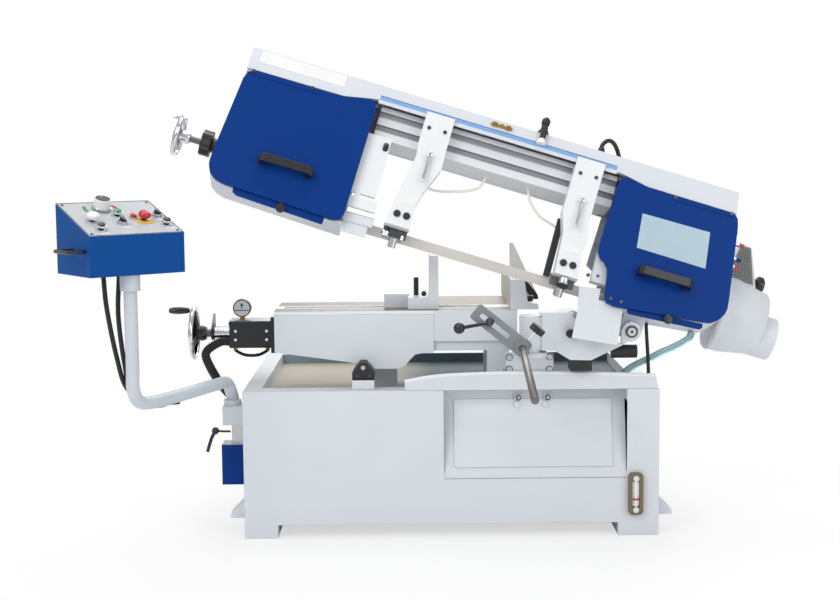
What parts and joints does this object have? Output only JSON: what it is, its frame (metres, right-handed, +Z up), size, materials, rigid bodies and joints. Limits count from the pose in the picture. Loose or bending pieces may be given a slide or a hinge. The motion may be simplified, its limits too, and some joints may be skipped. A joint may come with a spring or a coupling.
{
  "type": "mitre band saw",
  "caption": "Horizontal hydraulic mitre band saw: cabinet with chip tray, vise bed, swivelling arm and raised, tilted bow with covers, guides and pendant.",
  "frame": {"origin": "centre of the outline seen from above, on the floor", "axes": "+X to the operator's right, +Y away from the operator, +Z up; the operator stands on the -Y side"},
  "size_m": [1.8892, 1.4586, 1.3199],
  "materials": {
    "base_cabinet": "satin",
    "hatch_panel": "satin",
    "level_gauge": "satin",
    "front_apron": "satin",
    "bed_body": "satin",
    "bed_wear_plate": "satin",
    "saw_table": "satin",
    "bed_pedestal": "satin",
    "mitre_column": "satin",
    "fixed_jaw": "satin",
    "jaw_guard_plate": "satin",
    "moving_jaw": "satin",
    "vise_cylinder": "satin",
    "vise_handwheel": "polished",
    "crank_grip": "gloss",
    "swivel_arm": "satin",
    "pivot_shaft": "satin",
    "arm_knob": "satin",
    "lift_cylinder": "satin",
    "stop_rod": "satin",
    "stop_plate": "satin",
    "star_knob": "satin",
    "ball_lever": "gloss",
    "guide_beam": "satin",
    "blade": "satin",
    "drive_wheel": "satin",
    "tension_slide": "satin",
    "idler_wheel": "satin",
    "tension_handwheel": "polished",
    "lock_wheel": "satin",
    "cover_left": "gloss",
    "cover_right": "gloss",
    "guide_arm_left": "satin",
    "guide_lever_left": "polished",
    "guide_roller_left": "satin",
    "guide_arm_right": "satin",
    "guide_lever_right": "polished",
    "guide_roller_right": "satin",
    "blade_guard": "satin",
    "gearbox": "satin",
    "motor": "satin",
    "coolant_fitting": "satin",
    "bow_cable_loop": "matte",
    "bow_frame": "satin",
    "pendant_bracket": "satin",
    "valve_box": "satin",
    "pendant_pipe": "satin",
    "feed_dial": "gloss",
    "start_mushroom": "gloss",
    "cycle_button": "gloss",
    "jaw_selector": "gloss",
    "pump_button": "gloss",
    "emergency_stop": "gloss",
    "mode_selector": "gloss",
    "lower_button": "gloss",
    "pendant_box": "satin",
    "conduit": "matte",
    "vise_hose": "matte",
    "drain_hose": "satin",
    "bow_cable": "matte"
  },
  "bodies": {
    "base": {"base_cabinet": "base_cabinet", "level_gauge": "level_gauge", "front_apron": "front_apron", "bed_body": "bed_body", "bed_wear_plate": "bed_wear_plate", "saw_table": "saw_table", "bed_pedestal": "bed_pedestal", "mitre_column": "mitre_column", "fixed_jaw": "fixed_jaw", "jaw_guard_plate": "jaw_guard_plate", "vise_cylinder": "vise_cylinder", "pendant_bracket": "pendant_bracket", "valve_box": "valve_box", "conduit": "conduit", "vise_hose": "vise_hose", "drain_hose": "drain_hose", "bow_cable": "bow_cable"},
    "hatch": {"hatch_panel": "hatch_panel"},
    "jaw": {"moving_jaw": "moving_jaw"},
    "vise_wheel": {"vise_handwheel": "vise_handwheel"},
    "crank": {"crank_grip": "crank_grip"},
    "swivel": {"swivel_arm": "swivel_arm", "pivot_shaft": "pivot_shaft", "lift_cylinder": "lift_cylinder", "stop_rod": "stop_rod"},
    "arm_knob": {"arm_knob": "arm_knob"},
    "stop": {"stop_plate": "stop_plate"},
    "star": {"star_knob": "star_knob"},
    "ball": {"ball_lever": "ball_lever"},
    "bow": {"bow_frame": "bow_frame", "guide_beam": "guide_beam", "blade": "blade", "blade_guard": "blade_guard", "gearbox": "gearbox", "motor": "motor", "coolant_fitting": "coolant_fitting", "bow_cable_loop": "bow_cable_loop"},
    "drive": {"drive_wheel": "drive_wheel"},
    "tension": {"tension_slide": "tension_slide"},
    "idler": {"idler_wheel": "idler_wheel"},
    "tension_wheel": {"tension_handwheel": "tension_handwheel"},
    "lock_wheel": {"lock_wheel": "lock_wheel"},
    "cover_left": {"cover_left": "cover_left"},
    "cover_right": {"cover_right": "cover_right"},
    "guide_left": {"guide_arm_left": "guide_arm_left"},
    "guide_right": {"guide_arm_right": "guide_arm_right"},
    "lever_left": {"guide_lever_left": "guide_lever_left"},
    "lever_right": {"guide_lever_right": "guide_lever_right"},
    "roller_left": {"guide_roller_left": "guide_roller_left"},
    "roller_right": {"guide_roller_right": "guide_roller_right"},
    "pipe": {"pendant_pipe": "pendant_pipe"},
    "box": {"pendant_box": "pendant_box"},
    "dial": {"feed_dial": "feed_dial"},
    "jaw_selector": {"jaw_selector": "jaw_selector"},
    "mode_selector": {"mode_selector": "mode_selector"},
    "start_mushroom": {"start_mushroom": "start_mushroom"},
    "cycle_button": {"cycle_button": "cycle_button"},
    "pump_button": {"pump_button": "pump_button"},
    "emergency_stop": {"emergency_stop": "emergency_stop"},
    "lower_button": {"lower_button": "lower_button"}
  },
  "joints": [
    {"name": "hatch_lift", "type": "slide", "parent": "base", "child": "hatch", "axis": [0, -0.9704, 0.2416], "range_m": [0, 0.12]},
    {"name": "jaw_slide", "type": "slide", "parent": "base", "child": "jaw", "axis": [1, 0, 0], "range_m": [-0.2, 0.185]},
    {"name": "vise_wheel_turn", "type": "hinge", "parent": "base", "child": "vise_wheel", "pos_m": [-0.66257, 0.16929, 0.538], "axis": [1, 0, 0], "range_deg": [-12100, 11200]},
    {"name": "crank_spin", "type": "hinge", "parent": "vise_wheel", "child": "crank", "pos_m": [-0.68487, 0.16929, 0.602], "axis": [1, 0, 0], "continuous": true},
    {"name": "mitre_turn", "type": "hinge", "parent": "base", "child": "swivel", "pos_m": [0.25043, -0.01571, 0], "axis": [0, 0, 1], "range_deg": [0, 45], "deforming": ["drain_hose", "bow_cable"]},
    {"name": "arm_knob_turn", "type": "hinge", "parent": "swivel", "child": "arm_knob", "pos_m": [0.35343, -0.04601, 0.558], "axis": [0, 1, 0], "range_deg": [-180, 180]},
    {"name": "stop_slide", "type": "slide", "parent": "swivel", "child": "stop", "axis": [-0.0314, -0.9986, -0.0436], "range_m": [-0.004, 0.52]},
    {"name": "star_knob_turn", "type": "hinge", "parent": "stop", "child": "star", "pos_m": [0.22311, -0.09995, 0.52717], "axis": [0.6285, -0.0536, 0.776], "range_deg": [-180, 180]},
    {"name": "ball_lever_turn", "type": "hinge", "parent": "stop", "child": "ball", "pos_m": [0.13742, -0.10657, 0.59611], "axis": [0.0314, 0.9986, 0.0436], "range_deg": [-60, 60]},
    {"name": "bow_lift", "type": "hinge", "parent": "swivel", "child": "bow", "pos_m": [0.51743, -0.01571, 0.56], "axis": [0, 1, 0], "range_deg": [-17, 6], "deforming": ["drain_hose", "bow_cable"]},
    {"name": "drive_wheel_turn", "type": "hinge", "parent": "bow", "child": "drive", "pos_m": [0.61324, 0.04243, 0.7605], "axis": [-0.1, 0.9397, -0.3271], "continuous": true},
    {"name": "tension_slide", "type": "slide", "parent": "bow", "child": "tension", "axis": [0.9563, 0, -0.2924], "range_m": [0, 0.006]},
    {"name": "idler_wheel_turn", "type": "hinge", "parent": "tension", "child": "idler", "pos_m": [-0.38036, 0.04243, 1.06427], "axis": [-0.1, 0.9397, -0.3271], "continuous": true},
    {"name": "tension_wheel_turn", "type": "hinge", "parent": "bow", "child": "tension_wheel", "pos_m": [-0.67735, 0.06053, 1.08475], "axis": [0.9563, 0, -0.2924], "range_deg": [-5, 545]},
    {"name": "lock_wheel_turn", "type": "hinge", "parent": "bow", "child": "lock_wheel", "pos_m": [-0.57775, 0.06053, 1.0543], "axis": [0.9563, 0, -0.2924], "range_deg": [-180, 180]},
    {"name": "cover_left_open", "type": "hinge", "parent": "bow", "child": "cover_left", "pos_m": [-0.32765, 0.04708, 1.23668], "axis": [-0.9563, 0, 0.2924], "range_deg": [0, 95]},
    {"name": "cover_right_open", "type": "hinge", "parent": "bow", "child": "cover_right", "pos_m": [0.67168, 0.04708, 0.93115], "axis": [-0.9563, 0, 0.2924], "range_deg": [0, 95]},
    {"name": "guide_left_slide", "type": "slide", "parent": "bow", "child": "guide_left", "axis": [0.9563, 0, -0.2924], "range_m": [-0.02, 0.16]},
    {"name": "guide_right_slide", "type": "slide", "parent": "bow", "child": "guide_right", "axis": [0.9563, 0, -0.2924], "range_m": [-0.14, 0.02]},
    {"name": "guide_lever_left_turn", "type": "hinge", "parent": "guide_left", "child": "lever_left", "pos_m": [-0.01427, 0.00424, 1.02697], "axis": [-0.1, 0.9397, -0.3271], "range_deg": [-60, 60]},
    {"name": "guide_lever_right_turn", "type": "hinge", "parent": "guide_right", "child": "lever_right", "pos_m": [0.38929, 0.00424, 0.90359], "axis": [-0.1, 0.9397, -0.3271], "range_deg": [-60, 60]},
    {"name": "roller_left_spin", "type": "hinge", "parent": "guide_left", "child": "roller_left", "pos_m": [-0.11053, -0.02746, 0.81473], "axis": [0.2924, 0, 0.9563], "continuous": true},
    {"name": "roller_right_spin", "type": "hinge", "parent": "guide_right", "child": "roller_right", "pos_m": [0.33032, -0.02746, 0.67995], "axis": [0.2924, 0, 0.9563], "continuous": true},
    {"name": "pendant_pipe_swing", "type": "hinge", "parent": "base", "child": "pipe", "pos_m": [-0.55957, 0.07829, 0], "axis": [0, 0, 1], "range_deg": [-20, 25]},
    {"name": "pendant_box_turn", "type": "hinge", "parent": "pipe", "child": "box", "pos_m": [-0.75657, -0.30071, 0.746], "axis": [0, 0, 1], "range_deg": [-60, 60]},
    {"name": "feed_dial_turn", "type": "hinge", "parent": "box", "child": "dial", "pos_m": [-0.83805, -0.22484, 0.90298], "axis": [0.2287, -0.2927, 0.9285], "range_deg": [-150, 150]},
    {"name": "jaw_selector_turn", "type": "hinge", "parent": "box", "child": "jaw_selector", "pos_m": [-0.77474, -0.28102, 0.86968], "axis": [0.2287, -0.2927, 0.9285], "range_deg": [-45, 45]},
    {"name": "mode_selector_turn", "type": "hinge", "parent": "box", "child": "mode_selector", "pos_m": [-0.70683, -0.18571, 0.883], "axis": [0.2287, -0.2927, 0.9285], "range_deg": [-45, 45]},
    {"name": "start_mushroom_press", "type": "slide", "parent": "box", "child": "start_mushroom", "axis": [-0.2287, 0.2927, -0.9285], "range_m": [0, 0.004], "stiffness_N_per_m": 800},
    {"name": "cycle_button_press", "type": "slide", "parent": "box", "child": "cycle_button", "axis": [-0.2287, 0.2927, -0.9285], "range_m": [0, 0.004], "stiffness_N_per_m": 800},
    {"name": "pump_button_press", "type": "slide", "parent": "box", "child": "pump_button", "axis": [-0.2287, 0.2927, -0.9285], "range_m": [0, 0.004], "stiffness_N_per_m": 800},
    {"name": "emergency_stop_press", "type": "slide", "parent": "box", "child": "emergency_stop", "axis": [-0.2287, 0.2927, -0.9285], "range_m": [0, 0.004], "stiffness_N_per_m": 800},
    {"name": "lower_button_press", "type": "slide", "parent": "box", "child": "lower_button", "axis": [-0.2287, 0.2927, -0.9285], "range_m": [0, 0.004], "stiffness_N_per_m": 800}
  ],
  "couplings": [
    {"joint": "vise_wheel_turn", "follows": "jaw_slide", "rad_per_m": 1047.2},
    {"joint": "idler_wheel_turn", "follows": "drive_wheel_turn", "ratio": 1},
    {"joint": "tension_wheel_turn", "follows": "tension_slide", "rad_per_m": 1570.8}
  ]
}
